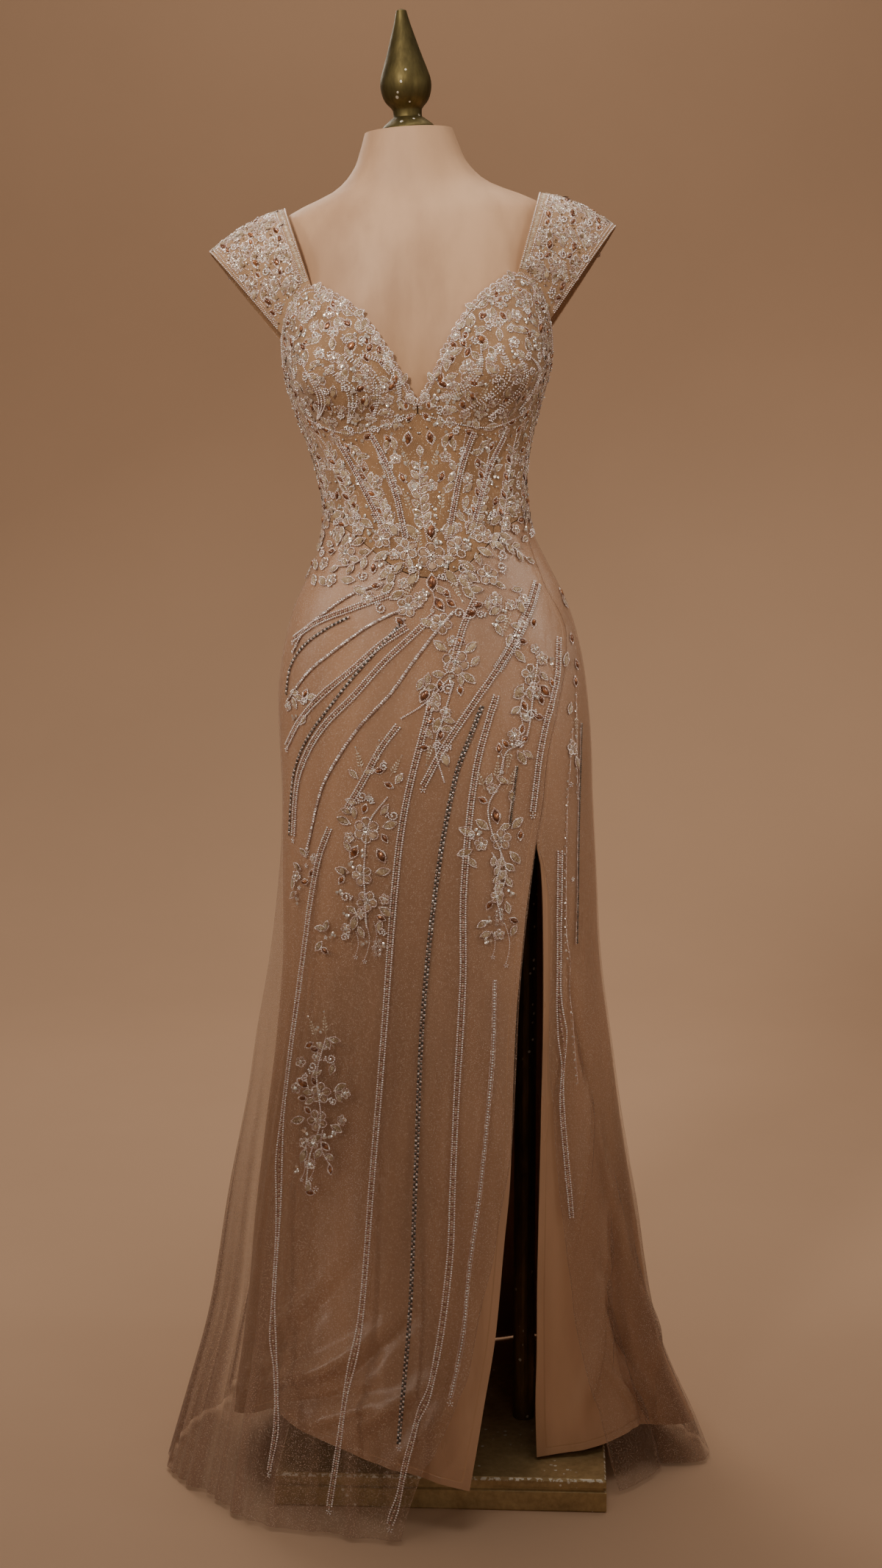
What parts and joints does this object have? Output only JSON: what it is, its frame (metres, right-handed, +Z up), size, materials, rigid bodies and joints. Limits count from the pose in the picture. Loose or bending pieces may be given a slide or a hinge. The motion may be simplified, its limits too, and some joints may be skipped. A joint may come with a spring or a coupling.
{
  "type": "evening gown on dress form",
  "caption": "Floor-length slit evening gown with cap straps, corset bodice and beaded tulle over satin, on a limbless dress form with a pole, a flat moulded base and a finial.",
  "frame": {"origin": "middle of the stand's underside, on the floor", "axes": "+Z up the stand, the gown faces -Y, +X is the right of someone looking at its front"},
  "size_m": [0.6287, 0.6287, 1.6401],
  "materials": {
    "champagne_satin": "soft sheen satin",
    "glitter_tulle": "sheer net with glitter",
    "nude_mesh": "matt fine mesh",
    "silver_rose_beading": "beads and sequins sewn on net",
    "form_jersey": "smooth jersey cover",
    "old_gilt": "worn gold paint"
  },
  "bodies": {
    "root": {"applique_hip_left": "silver_rose_beading", "applique_hip_right": "silver_rose_beading", "applique_knee": "silver_rose_beading", "applique_thigh_left": "silver_rose_beading", "applique_thigh_right": "silver_rose_beading", "applique_waist_left": "silver_rose_beading", "applique_waist_right": "silver_rose_beading", "band_hip_1": "silver_rose_beading", "band_hip_2": "silver_rose_beading", "band_hip_3": "silver_rose_beading", "band_hip_4": "silver_rose_beading", "band_hip_5": "silver_rose_beading", "band_long_1": "silver_rose_beading", "band_long_2": "silver_rose_beading", "band_long_3": "silver_rose_beading", "band_long_4": "silver_rose_beading", "band_right": "silver_rose_beading", "band_slit_edge": "silver_rose_beading", "band_slit_top": "silver_rose_beading", "band_sweep": "silver_rose_beading", "base": "old_gilt", "bodice_back_left": "nude_mesh", "bodice_back_right": "nude_mesh", "bodice_centre_front": "nude_mesh", "bodice_side_front_left": "nude_mesh", "bodice_side_front_right": "nude_mesh", "bodice_side_left": "nude_mesh", "bodice_side_right": "nude_mesh", "bone_inner_left": "silver_rose_beading", "bone_inner_right": "silver_rose_beading", "bone_outer_left": "silver_rose_beading", "bone_outer_right": "silver_rose_beading", "cup_left": "nude_mesh", "cup_right": "nude_mesh", "finial": "old_gilt", "pole": "old_gilt", "satin_back_left": "champagne_satin", "satin_back_right": "champagne_satin", "satin_front": "champagne_satin", "satin_right_front": "champagne_satin", "strap_left": "nude_mesh", "strap_right": "nude_mesh", "torso_form": "form_jersey", "tulle_back_left": "glitter_tulle", "tulle_back_right": "glitter_tulle", "tulle_front": "glitter_tulle", "tulle_right_front": "glitter_tulle"}
  },
  "joints": []
}
